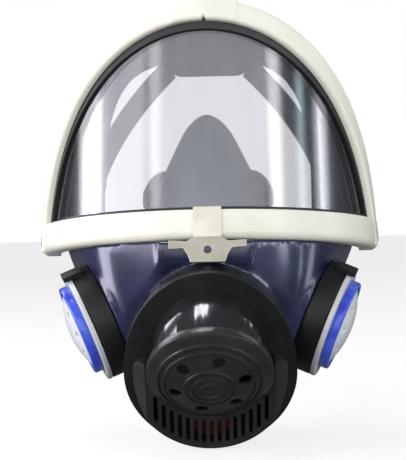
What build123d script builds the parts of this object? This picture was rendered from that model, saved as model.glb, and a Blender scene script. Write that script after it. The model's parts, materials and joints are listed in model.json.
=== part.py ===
from build123d import *
import os
from math import acos, cos, hypot, pi, radians, sin, sqrt, tan

# Full face respirator, worn upright: +Z up, the wearer looks along -Y, millimetres.
# The origin is the middle of the face opening, in the plane of the face seal.

# ------------------------------------------------------------------ driving sizes
# window and its frame, drawn upright and then leaned back as one assembly
WINDOW_LEAN = 6.5
LENS_HALF_WIDTH = 91.5
LENS_DEPTH = 81.5
LENS_CENTRE_Y = -10.0
LENS_WALL = 2.5
ARCH_TOP_Y = -91.5
ARCH_TOP_Z = 110.2
ARCH_FOOT_Y = -25.3
ARCH_BULGE = 5.0
LENS_BITE = 2.0
LENS_FOOT = 5.4
SEAL_WALL = 1.2
SEAL_SHOW = 4.8
SEAL_SHOW_SIDE = 1.6
SEAL_SHOW_FOOT = 1.7
FRAME_FRONT_WALL = 5.0
FRAME_BACK_WALL = 3.2
ARCH_WIDTH = 11.0
ARCH_ROUND = 1.6
ARCH_SINK = 4.0
ARCH_STATIONS = 14
BAND_HEIGHT = 15.5
BAND_UNDER_ROUND = 4.0
BAND_TOP_ROUND = 1.2
TAB_WALL = 3.0
SCREW_RADIUS = 1.7
SCREW_HEAD_RADIUS = 3.6
SCREW_HEAD_HEIGHT = 2.2
NUT_HEIGHT = 2.6

# clip on the middle of the lower frame
CLIP_SHEET = 1.2
CLIP_STRAP_WIDTH = 14.3
CLIP_PLATE_LENGTH = 13.6
CLIP_PLATE_TILT = 22.0
CLIP_SPAN = 39.5
CLIP_HOLE_RADIUS = 2.1

# facepiece rubber
RUBBER_WALL = 3.0
BODY_HALF_WIDTH = LENS_HALF_WIDTH - 7.5
BODY_TOP = ARCH_TOP_Z + 3.8
FACE_HALF_WIDTH = BODY_HALF_WIDTH - 24.0
FACE_TOP = BODY_TOP - 17.0
FACE_BOTTOM = 85.0
# depth of each outline, its share of the body's half width, its drop below the body's
# top, its reach below the middle, and how square its lower half is
BODY_OUTLINES = (
    (ARCH_TOP_Y - 5.7, 0.310, 6.0, 52.0, 1.8),
    (-85.0, 0.548, 4.0, 87.0, 2.2),
    (-70.0, 0.750, 2.0, 106.0, 1.8),
    (-45.0, 0.893, 0.0, 112.0, 1.4),
    (-15.0, 1.000, 1.0, 110.0, 1.4),
    (0.0, 0.905, 4.0, 100.0, 1.5),
)
UPPER_SQUARENESS = 2.2
FACE_UPPER_SQUARENESS = 3.6
FACE_LOWER_SQUARENESS = 1.7

# front housing, tilted towards the floor; it grows with the speech barrel
BARREL_RADIUS = 29.5
FLANGE_TILT = 25.0
FLANGE_Y = -85.0
FLANGE_Z = -74.6
FLANGE_RADIUS = BARREL_RADIUS + 15.5
FLANGE_TOP = FLANGE_RADIUS + 14.0
FLANGE_WALL = 4.0
NECK_LENGTH = 10.0
CLAMP_WALL = 1.5
CLAMP_EAR = 4.6
NECK_RUBBER = 3.0
NECK_WALL = 2.5

# speech barrel and its cap
BARREL_TILT = 43.0
BARREL_OFFSET = 18.0
BARREL_WALL = 2.5
BARREL_LENGTH = 20.7
BARREL_BACK = 12.0
CAP_RADIUS = BARREL_RADIUS + 2.5
CAP_SKIRT = 4.2
CAP_DOME = 10.0
CAP_WALL = 2.2
CAP_HOLES = 6
CAP_HOLE_RADIUS = 3.3
CAP_HOLE_RING = 0.5625 * CAP_RADIUS
CAP_HOLE_TURN = 15.0
CAP_RIBS = (0.83, 0.73, 0.4, 0.28, 0.15)
CAP_RIB_WIDTH = 1.1
CAP_RIB_HEIGHT = 0.7
CAP_GAP = 0.08
CAP_ROOM = 0.9
DIAPHRAGM_RADIUS = BARREL_RADIUS - 6.5

# exhalation valve and its slotted cover
VALVE_RADIUS = 11.6
VALVE_RIM = 1.3
COVER_HEIGHT = 9.0
COVER_HALF_WIDTH = FLANGE_RADIUS - 11.5
COVER_FOOT_HALF_WIDTH = FLANGE_RADIUS - 5.0
COVER_EAR_TOP = 12.0
COVER_BOTTOM_RADIUS = FLANGE_RADIUS - 5.0
COVER_CORNER = 6.0
COVER_FOOT = 2.0
COVER_WALL = 2.0
SLOT_COUNT = 15
SLOT_PITCH = 4.1
SLOT_WIDTH = 2.1
SLOT_ARC_RADIUS = COVER_BOTTOM_RADIUS - 3.5

# side ports and filters
PORT_X = BODY_HALF_WIDTH - 23.5
PORT_Y = -50.0
PORT_Z = -49.0
PORT_DOWN = 22.0
PORT_FORWARD = 12.0
PORT_RADIUS = 31.0
PORT_DEPTH = 11.5
PORT_BORE = PORT_RADIUS - 9.0
PORT_TUBE_RADIUS = PORT_RADIUS - 11.0
PORT_TUBE_WALL = 2.0
LATCH_TURN = 22.0
LATCH_HALF = 3.5
FILTER_GAP = 0.3
FILTER_BASE = 2.6
FILTER_RING_RADIUS = PORT_RADIUS - 6.0
FILTER_RING_DEPTH = 5.0
FILTER_RING_WALL = 2.6
FILTER_DOME = 5.5
FILTER_WALL = 1.4
FILTER_WINDOWS = 6
FILTER_WINDOW_RING = 0.52 * PORT_BORE
FILTER_WINDOW_RADIUS = 0.19 * PORT_BORE
FILTER_VENTS = 8
FILTER_VENT_RADIUS = 1.6
LUG_COUNT = 3

# nose cup
CUP_WALL = 2.0
CUP_BACK_Y = -8.0
# height of each outline, its half width and how far forward its front stands
CUP_OUTLINES = (
    (63.0, 5.0, 47.0),
    (58.0, 11.5, 53.0),
    (49.0, 17.0, 59.5),
    (32.0, 25.5, 68.0),
    (8.0, 37.0, 74.0),
    (-20.0, 43.0, 75.0),
    (-45.0, 40.0, 68.0),
    (-66.0, 30.0, 56.0),
    (-82.0, 14.0, 42.0),
)
SNOUT_RADIUS = FLANGE_RADIUS - 18.0
SNOUT_OFFSET = 8.0
CHECK_RADIUS = 11.0

# head harness: each strap runs on one arc from its root on the rubber to the head pad
STRAP_WIDTH = 18.0
STRAP_THICKNESS = 1.8
TEMPLE_ROOT_X = BODY_HALF_WIDTH - 10.0
NECK_ROOT_X = BODY_HALF_WIDTH - 30.0
CROWN_Z = BODY_TOP + 26.5
PAD_WIDTH = 60.0
# root, middle and end of each arc on the wearer's left side, as distances from the middle
TOP_ROUTE = ((0, -3, BODY_TOP - 7), (0, 60, BODY_TOP + 21), (0, 121, CROWN_Z - 1.5))
TEMPLE_ROUTE = (
    (TEMPLE_ROOT_X, -3, 45),
    (TEMPLE_ROOT_X + 3, 72, 88),
    (PAD_WIDTH / 2 + 2, 139, CROWN_Z - 13),
)
NECK_ROUTE = (
    (NECK_ROOT_X, -3, -55),
    (NECK_ROOT_X + 26, 88, 15),
    (PAD_WIDTH / 2 - 2, 166, CROWN_Z - 26),
)
PAD_ARC = ((0, 115, CROWN_Z + 1.5), (0, 146, CROWN_Z - 10.5), (0, 168, CROWN_Z - 32))
PAD_THICKNESS = 5.0
PAD_CORNER = 12.0
LUG_REACH = 8.0
BUCKLE_LENGTH = 22.0
BUCKLE_WALL = 2.5
BUCKLE_TAIL = 14.0
LEVER_THICKNESS = 2.2
LEVER_BARREL = 2.4
PIN_RADIUS = 1.2
PIN_GAP = 0.05
RUN_GAP = 0.3

os.makedirs("parts", exist_ok=True)
FAR = 400.0
SIDES = {"left": -1, "right": 1}


def strap_routes():
    """Every strap's arc by name: one over the crown, and two pairs at the sides."""
    routes = {"top": TOP_ROUTE}
    for kind, route in (("temple", TEMPLE_ROUTE), ("neck", NECK_ROUTE)):
        for name, side in SIDES.items():
            routes[f"{kind}_{name}"] = tuple((side * x, y, z) for x, y, z in route)
    return routes


STRAP_ROUTES = strap_routes()


def save(shape, node):
    export_step(shape, f"parts/{node}.step")


# ------------------------------------------------------------------ frames of reference
WINDOW = Rot(X=-WINDOW_LEAN)
FLANGE = Plane(
    origin=(0, FLANGE_Y, FLANGE_Z),
    x_dir=(1, 0, 0),
    z_dir=(0, -cos(radians(FLANGE_TILT)), -sin(radians(FLANGE_TILT))),
)
BARREL = Plane(
    origin=FLANGE.from_local_coords(Vector(0, BARREL_OFFSET, 0)),
    x_dir=(1, 0, 0),
    z_dir=(0, -cos(radians(BARREL_TILT)), -sin(radians(BARREL_TILT))),
)


def port_plane(side):
    """Outer face of the rubber boss; local z points out of the port."""
    out = Vector(
        side * cos(radians(PORT_FORWARD)) * cos(radians(PORT_DOWN)),
        -sin(radians(PORT_FORWARD)) * cos(radians(PORT_DOWN)),
        -sin(radians(PORT_DOWN)),
    )
    level = Vector(0, 0, 1).cross(out)
    centre = Vector(side * PORT_X, PORT_Y, PORT_Z) - out * (PORT_DEPTH / 2)
    return Plane(origin=centre, x_dir=level, z_dir=out)


def disc(radius, low, high):
    return Pos(0, 0, low) * Cylinder(radius, high - low, align=(Align.CENTER, Align.CENTER, Align.MIN))


def ring(outer, inner, low, high):
    return disc(outer, low, high) - disc(inner, low - 1, high + 1)


def block(x0, x1, y0, y1, z0, z1):
    low = (Align.MIN, Align.MIN, Align.MIN)
    return Pos(x0, y0, z0) * Box(x1 - x0, y1 - y0, z1 - z0, align=low)


# ------------------------------------------------------------------ window and frames
def window_section(grow, low, high):
    """Upright half-ellipse column, its front grown by `grow` from the lens's outside."""
    outline = Ellipse(LENS_HALF_WIDTH + grow, LENS_DEPTH + grow)
    column = Pos(0, LENS_CENTRE_Y, low) * extrude(outline, high - low)
    return column


def window_wall(outside, inside, low, high):
    wall = window_section(outside, low, high) - window_section(inside, low - 1, high + 1)
    return wall & block(-FAR, FAR, -FAR, LENS_CENTRE_Y, -FAR, FAR)


def arch_circle():
    """Centre and radius of the long arc that the arch follows, seen from the side."""
    rise = ARCH_TOP_Z
    run = ARCH_FOOT_Y - ARCH_TOP_Y
    chord = hypot(rise, run)
    radius = (chord * chord / 4 + ARCH_BULGE * ARCH_BULGE) / (2 * ARCH_BULGE)
    back = radius - ARCH_BULGE
    y = (ARCH_TOP_Y + ARCH_FOOT_Y) / 2 - back * rise / chord
    z = ARCH_TOP_Z / 2 - back * run / chord
    return y, z, radius


def inside_arch(inset):
    """Everything in front of and below the arch's edge, moved in by `inset`."""
    y, z, radius = arch_circle()
    return Pos(0, y, z) * Rot(Y=90) * Cylinder(radius - inset, 2 * FAR)


def arch_point(turn, depth):
    """Point on the lens wall, `depth` below its outside, where the arch's outer edge runs."""
    a = LENS_HALF_WIDTH - depth
    b = LENS_DEPTH - depth
    cy, cz, radius = arch_circle()
    y = LENS_CENTRE_Y - b * cos(turn)
    return Vector(a * sin(turn), y, cz + sqrt(radius ** 2 - (y - cy) ** 2))


def arch_sweep(first, last, outside, inside, rounding, crown=0.0):
    """Strip over the arch, square to the lens: from `first` to `last` in from its edge,
    and from `outside` above the lens's face to `inside` below it. At the top it reaches
    `crown` further in."""
    middle = (inside - outside) / 2
    end = acos((LENS_CENTRE_Y - ARCH_FOOT_Y - ARCH_SINK) / LENS_DEPTH)
    sections = []
    for step in range(ARCH_STATIONS + 1):
        turn = -end + 2 * end * step / ARCH_STATIONS
        edge = arch_point(turn, middle)
        along = (arch_point(turn + 0.01, middle) - arch_point(turn - 0.01, middle)).normalized()
        out = Vector(sin(turn) / LENS_HALF_WIDTH, -cos(turn) / LENS_DEPTH, 0)
        out = (out - along * out.dot(along)).normalized()
        inward = along.cross(out)
        reach = last + crown * cos(turn / end * pi / 2)
        here = edge + inward * ((first + reach) / 2)
        plane = Plane(origin=here, x_dir=out, z_dir=along)
        size = (outside + inside, reach - first)
        face = RectangleRounded(*size, rounding) if rounding else Rectangle(*size)
        sections.append(plane * face)
    return loft(sections)


def arch_bar():
    return arch_sweep(0, ARCH_WIDTH, FRAME_FRONT_WALL, LENS_WALL + FRAME_BACK_WALL, ARCH_ROUND)


LENS_FLOOR = LENS_FOOT - BAND_HEIGHT


def above(height):
    return block(-FAR, FAR, -FAR, FAR, height, FAR)


def lens():
    wall = window_wall(0, -LENS_WALL, -BAND_HEIGHT, FAR / 2)
    return wall & inside_arch(LENS_BITE) & above(LENS_FLOOR)


def seal_space():
    """Space of the lens's edge seal with its groove filled, in the upright frame."""
    last = ARCH_WIDTH + SEAL_SHOW_SIDE
    crown = SEAL_SHOW - SEAL_SHOW_SIDE
    strip = arch_sweep(SEAL_WALL / 2, last, SEAL_WALL, LENS_WALL + SEAL_WALL, 0, crown)
    foot = window_wall(SEAL_WALL, -LENS_WALL - SEAL_WALL, LENS_FLOOR - SEAL_WALL, SEAL_SHOW_FOOT)
    strip = strip & above(LENS_FLOOR - SEAL_WALL)
    return strip + (foot & inside_arch(SEAL_WALL))


def lens_seal():
    return seal_space() - lens()


def band():
    wall = window_wall(FRAME_FRONT_WALL, -LENS_WALL - FRAME_BACK_WALL, -BAND_HEIGHT, 0)
    for height, rounding in ((-BAND_HEIGHT, BAND_UNDER_ROUND), (0, BAND_TOP_ROUND)):
        level = [edge for edge in wall.edges().filter_by(Plane.XY) if abs(edge.center().Z - height) < 0.01]
        wall = fillet([max(level, key=lambda edge: edge.length)], rounding)
    return wall


SCREW_Y = LENS_CENTRE_Y - SCREW_HEAD_RADIUS - 2.0
SCREW_Z = -BAND_HEIGHT / 2


def section_x(grow, y):
    """Half width of the window section, grown by `grow`, at depth y."""
    b = LENS_DEPTH + grow
    return (LENS_HALF_WIDTH + grow) * sqrt(1 - ((y - LENS_CENTRE_Y) / b) ** 2)


TAB_OUTSIDE = section_x(-LENS_WALL - FRAME_BACK_WALL, SCREW_Y)
BAND_OUTSIDE = section_x(FRAME_FRONT_WALL, SCREW_Y)


def side_tab(side):
    """Tongue of the arch that reaches down inside the band's end."""
    tab = block(0, TAB_WALL, ARCH_FOOT_Y - 3, LENS_CENTRE_Y, -BAND_HEIGHT + 2, 4.0)
    arm = block(0, TAB_WALL + 6, ARCH_FOOT_Y - 6, LENS_CENTRE_Y - 4, 0, 4.0)
    tab = Pos(TAB_OUTSIDE - TAB_WALL, 0, 0) * (tab + arm)
    return tab if side > 0 else mirror(tab, Plane.YZ)


def side_rod(side, radius, inside, outside, sides=0):
    """Rod along X through a frame end, between two distances from the middle."""
    rod = Rot(Y=90) * disc(radius, inside, outside)
    if sides:
        rod = Rot(Y=90) * Pos(0, 0, inside) * extrude(RegularPolygon(radius, sides), outside - inside)
    rod = Pos(0, SCREW_Y, SCREW_Z) * rod
    return rod if side > 0 else mirror(rod, Plane.YZ)


NUT_INSIDE = TAB_OUTSIDE - TAB_WALL - NUT_HEIGHT


def frame_hole(side):
    return side_rod(side, SCREW_RADIUS, 0, FAR / 2)


def head_pocket(side):
    return side_rod(side, SCREW_HEAD_RADIUS + 0.2, BAND_OUTSIDE - SCREW_HEAD_HEIGHT, FAR / 2)


def make_window():
    sides = (-1, 1)
    space = seal_space() + lens()
    lower = band() - space
    upper = arch_bar() & above(0)
    for side in sides:
        tab = side_tab(side)
        lower = lower - tab
        upper = upper + tab
    upper = upper - space
    screws = []
    nuts = []
    seat = BAND_OUTSIDE - SCREW_HEAD_HEIGHT
    for side in sides:
        lower = lower - frame_hole(side) - head_pocket(side)
        upper = upper - frame_hole(side)
        screw = side_rod(side, SCREW_HEAD_RADIUS, seat, BAND_OUTSIDE)
        screw = screw + side_rod(side, SCREW_RADIUS, NUT_INSIDE, seat)
        screws.append(screw)
        nut = side_rod(side, SCREW_HEAD_RADIUS, NUT_INSIDE, TAB_OUTSIDE - TAB_WALL, sides=6)
        nuts.append(nut - frame_hole(side))
    save(WINDOW * lens(), "visor")
    save(WINDOW * lens_seal(), "visor_seal")
    save(WINDOW * upper, "upper_frame")
    save(WINDOW * lower, "lower_frame")
    save(WINDOW * Compound(screws), "frame_screws")
    save(WINDOW * Compound(nuts), "frame_nuts")


# ------------------------------------------------------------------ frame clip
CLIP_FACE_Y = LENS_CENTRE_Y - LENS_DEPTH - FRAME_FRONT_WALL
CLIP_HOLE_DROP = 7.0


def clip_plane():
    """Top edge of the clip's plate, in the upright window frame; local z faces the viewer."""
    tilt = radians(CLIP_PLATE_TILT - WINDOW_LEAN)
    top = Vector(0, CLIP_FACE_Y - 0.4, -BAND_HEIGHT + 1.0)
    return Plane(origin=top, x_dir=(1, 0, 0), z_dir=(0, -cos(tilt), sin(tilt)))


def clip():
    """Spring-steel strap over the band, with a winged plate hanging from it."""
    half = CLIP_STRAP_WIDTH / 2
    front = block(-half, half, CLIP_FACE_Y - CLIP_SHEET, CLIP_FACE_Y + 1, -BAND_HEIGHT, CLIP_SHEET)
    front = front - window_section(FRAME_FRONT_WALL, -FAR, 2 * FAR)
    hook_back = CLIP_FACE_Y + FRAME_FRONT_WALL - SEAL_WALL - 0.5
    hook = block(-half, half, CLIP_FACE_Y - CLIP_SHEET, hook_back, 0, CLIP_SHEET)
    down = CLIP_PLATE_LENGTH
    wing = CLIP_SPAN / 2
    outline = Polyline(
        (-half, 0), (half, 0), (half + 3.5, -2.4), (wing, -1.8), (wing, -5.4), (half + 5.2, -6.0),
        (half + 3.0, -9.5), (half + 1.6, -down), (-half - 1.6, -down), (-half - 3.0, -9.5),
        (-half - 5.2, -6.0), (-wing, -6.4), (-wing, -1.8), (-half - 3.5, -2.4), close=True,
    )
    plate = extrude(make_face(outline), CLIP_SHEET)
    plate = plate - Pos(0, -CLIP_HOLE_DROP, 0) * Cylinder(CLIP_HOLE_RADIUS, 4 * CLIP_SHEET)
    return front + hook + clip_plane() * plate


# ------------------------------------------------------------------ facepiece rubber
OUTLINE_POINTS = 20


def body_outline(half, top, bottom, squareness, upper=UPPER_SQUARENESS, count=OUTLINE_POINTS):
    """Closed smooth outline, x across and y up, with its widest point at height 0."""
    points = []
    for step in range(count):
        turn = 2 * pi * step / count
        power = 2 / (upper if sin(turn) >= 0 else squareness)
        across = abs(cos(turn)) ** power * (1 if cos(turn) >= 0 else -1)
        up = abs(sin(turn)) ** power * (1 if sin(turn) >= 0 else -1)
        points.append((half * across, (top if up >= 0 else bottom) * up))
    return make_face(Spline(*points, periodic=True))


def body(inset, back):
    """Loft of the facepiece's outlines, drawn in by `inset` all round and from the front."""
    faces = []
    for y, share, drop, bottom, squareness in BODY_OUTLINES:
        half = BODY_HALF_WIDTH * share
        outline = body_outline(half - inset, BODY_TOP - drop - inset, bottom - inset, squareness)
        faces.append(Plane.XZ.offset(max(-y - inset, back)) * outline)
    return loft(faces)


def behind_flange(height):
    """Half space behind the plane that stands `height` in front of the flange's face."""
    return FLANGE * block(-FAR, FAR, -FAR, FAR, height - FAR, height)


def egg(inset):
    """Flange outline: round below, a taller half ellipse above."""
    round_part = Circle(FLANGE_RADIUS - inset) & Pos(0, -FAR / 2) * Rectangle(FAR, FAR)
    tall_part = Ellipse(FLANGE_RADIUS - inset, FLANGE_TOP - inset)
    tall_part = tall_part & Pos(0, FAR / 2) * Rectangle(FAR, FAR)
    return round_part + tall_part


def egg_plug(inset, low, high):
    return FLANGE * Pos(0, 0, low) * extrude(egg(inset), high - low)


def egg_ring(outside, inside, low, high):
    return egg_plug(outside, low, high) - egg_plug(inside, low - 1, high + 1)


NECK_BACK = -FLANGE_WALL - NECK_LENGTH
CLAMP_INSET = 1.0
NECK_OUTSIDE = CLAMP_INSET + CLAMP_WALL
NECK_INSIDE = NECK_OUTSIDE + NECK_RUBBER
BOSS_RADIUS = PORT_RADIUS + 2
BOSS_WALL = 3.2


def frame_space():
    """Everything that the two frames, their screws and nuts take, grown out to the front."""
    space = window_wall(FRAME_FRONT_WALL, -LENS_WALL - FRAME_BACK_WALL, -BAND_HEIGHT, 0)
    space = space + arch_bar()
    for side in SIDES.values():
        space = space + side_tab(side)
        space = space + side_rod(side, SCREW_HEAD_RADIUS, NUT_INSIDE, TAB_OUTSIDE, sides=6)
    return space


def before_band():
    """Everything in front of the window's frame, from the band's underside up."""
    slab = block(-FAR, FAR, -FAR, LENS_CENTRE_Y, -BAND_HEIGHT, FAR)
    return slab - window_section(FRAME_FRONT_WALL - 0.5, -FAR, 2 * FAR)


def facepiece():
    outer = body(0, 0) & behind_flange(NECK_BACK)
    inner = body(RUBBER_WALL, RUBBER_WALL) & behind_flange(NECK_BACK - RUBBER_WALL)
    shell = outer - inner
    opening = body_outline(FACE_HALF_WIDTH, FACE_TOP, FACE_BOTTOM, FACE_LOWER_SQUARENESS,
                           FACE_UPPER_SQUARENESS, 2 * OUTLINE_POINTS)
    shell = shell - Plane.XZ.offset(-5) * extrude(opening, 14)
    window = inside_arch(ARCH_WIDTH / 2) & block(-FAR, FAR, -FAR, LENS_CENTRE_Y, -BAND_HEIGHT + 3, FAR)
    shell = shell - WINDOW * window - WINDOW * seal_space() - WINDOW * lens()
    for side in SIDES.values():
        port = port_plane(side)
        shell = shell - port * disc(BOSS_RADIUS, 0, PORT_DEPTH * 2)
        boss = port * disc(BOSS_RADIUS, -BOSS_WALL, 0)
        shell = shell + (boss & behind_flange(NECK_BACK))
        shell = shell - port * disc(PORT_TUBE_RADIUS, -FAR / 8, 1)
    neck = egg_ring(NECK_OUTSIDE, NECK_INSIDE, NECK_BACK - 1, -FLANGE_WALL)
    shell = shell + neck - egg_plug(NECK_INSIDE, NECK_BACK - 6, -FLANGE_WALL)
    for name in STRAP_ROUTES:
        shell = shell + strap_lug(name)
    for name in STRAP_ROUTES:
        shell = shell - buckle_space(name)
    return shell - WINDOW * frame_space() - WINDOW * before_band()


# ------------------------------------------------------------------ front housing and clamp
SEAT_RADIUS = VALVE_RADIUS + 0.5
SEAT_TOP = 0.0


def front_housing():
    shape = egg_plug(0, -FLANGE_WALL, 0)
    shape = shape + egg_ring(NECK_INSIDE, NECK_INSIDE + NECK_WALL, NECK_BACK - 4, -FLANGE_WALL)
    shape = shape - BARREL * disc(BARREL_RADIUS, -FAR / 8, FAR / 8)
    return shape - valve_place() * disc(SEAT_RADIUS, -FAR / 8, 1)


def clamp_screw_rod(radius, low, high):
    """Rod along X through the clamp's closing ears, under the neck."""
    height = (NECK_BACK - FLANGE_WALL) / 2
    drop = -FLANGE_RADIUS + CLAMP_INSET - CLAMP_EAR / 2
    return FLANGE * Pos(0, drop, height) * Rot(Y=90) * disc(radius, low, high)


def neck_clamp():
    strip = egg_ring(CLAMP_INSET, NECK_OUTSIDE, NECK_BACK + 0.5, -FLANGE_WALL - 0.5)
    rim = -FLANGE_RADIUS + CLAMP_INSET + 0.6
    low = NECK_BACK + 2.5
    high = -FLANGE_WALL - 2.5
    ears = FLANGE * (block(-3.6, -1.2, rim - CLAMP_EAR, rim, low, high)
                     + block(1.2, 3.6, rim - CLAMP_EAR, rim, low, high))
    gap = FLANGE * block(-0.8, 0.8, rim - CLAMP_EAR, rim + 3, NECK_BACK - 1, -FLANGE_WALL)
    crest = FLANGE_TOP - CLAMP_INSET
    nub = FLANGE * block(-1.8, 1.8, crest - 0.6, crest + 0.8, low + 1, high - 1)
    return strip + ears + nub - gap - clamp_screw_rod(1.1, -10, 10)


def clamp_screw():
    return clamp_screw_rod(1.1, -3.6, 5.0) + clamp_screw_rod(2.0, 3.6, 5.4)


# ------------------------------------------------------------------ speech barrel and cap
BARREL_END = BARREL_LENGTH - 0.7
LEDGE = 4.0
SEAL_HEIGHT = 1.0
DIAPHRAGM_WALL = 0.4
RETAINER = 2.5


def make_barrel():
    inside = BARREL_RADIUS - BARREL_WALL
    tube = ring(BARREL_RADIUS, inside, -BARREL_BACK, BARREL_END)
    tube = tube + ring(inside + 0.5, DIAPHRAGM_RADIUS, LEDGE - 2, LEDGE)
    save(BARREL * tube, "speech_barrel")
    seal_top = LEDGE + SEAL_HEIGHT
    save(BARREL * ring(inside - 0.2, DIAPHRAGM_RADIUS + 0.5, LEDGE, seal_top), "diaphragm_seal")
    disc_top = seal_top + DIAPHRAGM_WALL
    save(BARREL * disc(inside - 0.4, seal_top, disc_top), "speech_diaphragm")
    keeper = ring(inside, DIAPHRAGM_RADIUS, disc_top, disc_top + RETAINER)
    save(BARREL * keeper, "diaphragm_ring")


def dome(radius, height, foot, grow):
    """Spherical cap of `height` over a disc of `radius` at level `foot`, grown by `grow`."""
    ball = (radius * radius + height * height) / (2 * height)
    sphere = Pos(0, 0, foot + height - ball) * Sphere(ball + grow)
    return sphere & disc(radius, foot, foot + height + grow + 1)


def speech_cap():
    foot = BARREL_LENGTH
    shape = disc(CAP_RADIUS, foot - CAP_SKIRT, foot) + dome(CAP_RADIUS, CAP_DOME, foot, 0)
    rib = dome(CAP_RADIUS, CAP_DOME, foot, CAP_RIB_HEIGHT)
    for share in CAP_RIBS:
        low = share * CAP_RADIUS - CAP_RIB_WIDTH / 2
        shape = shape + (rib & ring(low + CAP_RIB_WIDTH, low, foot, foot + 2 * CAP_DOME))
    bore = BARREL_RADIUS + CAP_GAP
    shape = shape - disc(bore, foot - CAP_SKIRT - 1, foot)
    under = dome(CAP_RADIUS, CAP_DOME, foot, -CAP_WALL) & disc(bore, foot - 1, foot + CAP_DOME)
    shape = shape - under
    for step in range(CAP_HOLES):
        turn = CAP_HOLE_TURN + 360 * step / CAP_HOLES
        hole = Pos(CAP_HOLE_RING, 0, 0) * disc(CAP_HOLE_RADIUS, foot - 2, foot + 2 * CAP_DOME)
        shape = shape - Rot(Z=turn) * hole
    return BARREL * shape


# ------------------------------------------------------------------ exhalation valve, cover
def spoked_seat(outside, inside, low, high, hub, bore):
    shape = ring(outside, inside, low, high) + disc(hub, low, high)
    for turn in (0, 90):
        bar = Rot(Z=turn) * block(-inside - 0.5, inside + 0.5, -0.8, 0.8, low, high - 0.4)
        shape = shape + bar
    return shape - disc(bore, low - 1, high + 1)


FLAP_WALL = 0.8
FLAP_GAP = 0.1
STEM_RADIUS = 1.4


def flap(radius, seat_top):
    """Thin disc with a stem that runs in the seat's hub."""
    low = seat_top + FLAP_GAP
    return disc(radius, low, low + FLAP_WALL) + disc(STEM_RADIUS, low - 2.6, low)


def valve_place():
    """Middle of the outlet valve, just below where the barrel leaves the flange."""
    barrel_foot = BARREL_OFFSET - BARREL_RADIUS / cos(radians(BARREL_TILT - FLANGE_TILT))
    return FLANGE * Pos(0, barrel_foot - VALVE_RIM - SEAT_RADIUS)


def exhalation_seat():
    shape = spoked_seat(SEAT_RADIUS, SEAT_RADIUS - 2.2, -2.6, SEAT_TOP, 3.0, STEM_RADIUS + PIN_GAP * 2)
    return valve_place() * shape


def cover_outline(inset):
    """Cover seen from the front: round below, straight ears above."""
    tall = COVER_EAR_TOP + COVER_BOTTOM_RADIUS
    half = COVER_FOOT_HALF_WIDTH - inset
    middle = COVER_EAR_TOP - tall / 2
    slab = Pos(0, middle) * RectangleRounded(2 * half, tall - 2 * inset, COVER_CORNER)
    low_end = Circle(COVER_BOTTOM_RADIUS - inset) + Pos(0, FAR / 2) * Rectangle(FAR, FAR)
    return slab & low_end


def cover_section(inset, high):
    """Trapezoid seen from below: a flat face between two sloped flanks."""
    foot = COVER_FOOT_HALF_WIDTH - inset
    face = COVER_HALF_WIDTH - inset
    outline = Polyline((-foot, 0), (foot, 0), (foot, COVER_FOOT), (face, high), (-face, high),
                       (-foot, COVER_FOOT), close=True)
    slab = extrude(Plane.XZ * make_face(outline), FAR / 2, both=True)
    return slab & extrude(cover_outline(inset), FAR / 4)


def cap_clearance(grow):
    return BARREL * disc(CAP_RADIUS + grow, -FAR / 8, FAR / 8)


def exhalation_cover():
    shape = cover_section(0, COVER_HEIGHT) - cover_section(COVER_WALL, COVER_HEIGHT - COVER_WALL)
    shape = FLANGE * Pos(0, 0, RUN_GAP) * shape
    shape = shape - cap_clearance(CAP_ROOM)
    slots = []
    drift = tan(radians(BARREL_TILT - FLANGE_TILT))
    stretch = 1 / cos(radians(BARREL_TILT - FLANGE_TILT))
    centre = BARREL_OFFSET - COVER_HEIGHT * drift
    reach = CAP_RADIUS + CAP_ROOM + 1.5 * COVER_WALL
    for step in range(SLOT_COUNT):
        x = (step - (SLOT_COUNT - 1) / 2) * SLOT_PITCH
        low = -sqrt(SLOT_ARC_RADIUS ** 2 - x * x)
        high = centre - stretch * sqrt(reach ** 2 - x * x)
        half = SLOT_WIDTH / 2
        slots.append(FLANGE * block(x - half, x + half, low, high, COVER_HEIGHT / 2, COVER_HEIGHT + 2))
    return shape - slots


def make_front():
    save(front_housing(), "front_housing")
    save(neck_clamp(), "neck_clamp")
    save(clamp_screw(), "clamp_screw")
    make_barrel()
    save(speech_cap(), "speech_cap")
    save(exhalation_seat(), "exhalation_seat")
    save(valve_place() * flap(VALVE_RADIUS - 0.8, SEAT_TOP), "exhalation_flap")
    save(exhalation_cover(), "exhalation_cover")


# ------------------------------------------------------------------ side ports and filters
GROOVE_RADIUS = PORT_BORE + 1.5
GROOVE_LOW = 4.0
GROOVE_HIGH = 7.2
GASKET_DEPTH = 1.2
TUBE_IN = 13.0
SEAT_IN = 8.5
LUG_ANGLE = 24.0
TWIST = 45.0


def lug_sector(outer, inner, low, high, angle, width):
    """Piece of a ring, `width` degrees wide, centred on `angle`."""
    reach = outer * 2
    half = radians(width / 2)
    wedge = Polyline((0, 0), (reach * cos(half), -reach * sin(half)),
                     (reach * cos(half), reach * sin(half)), close=True)
    wedge = Pos(0, 0, low - 1) * extrude(make_face(wedge), high - low + 2)
    return Rot(Z=angle) * (ring(outer, inner, low, high) & wedge)


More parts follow.
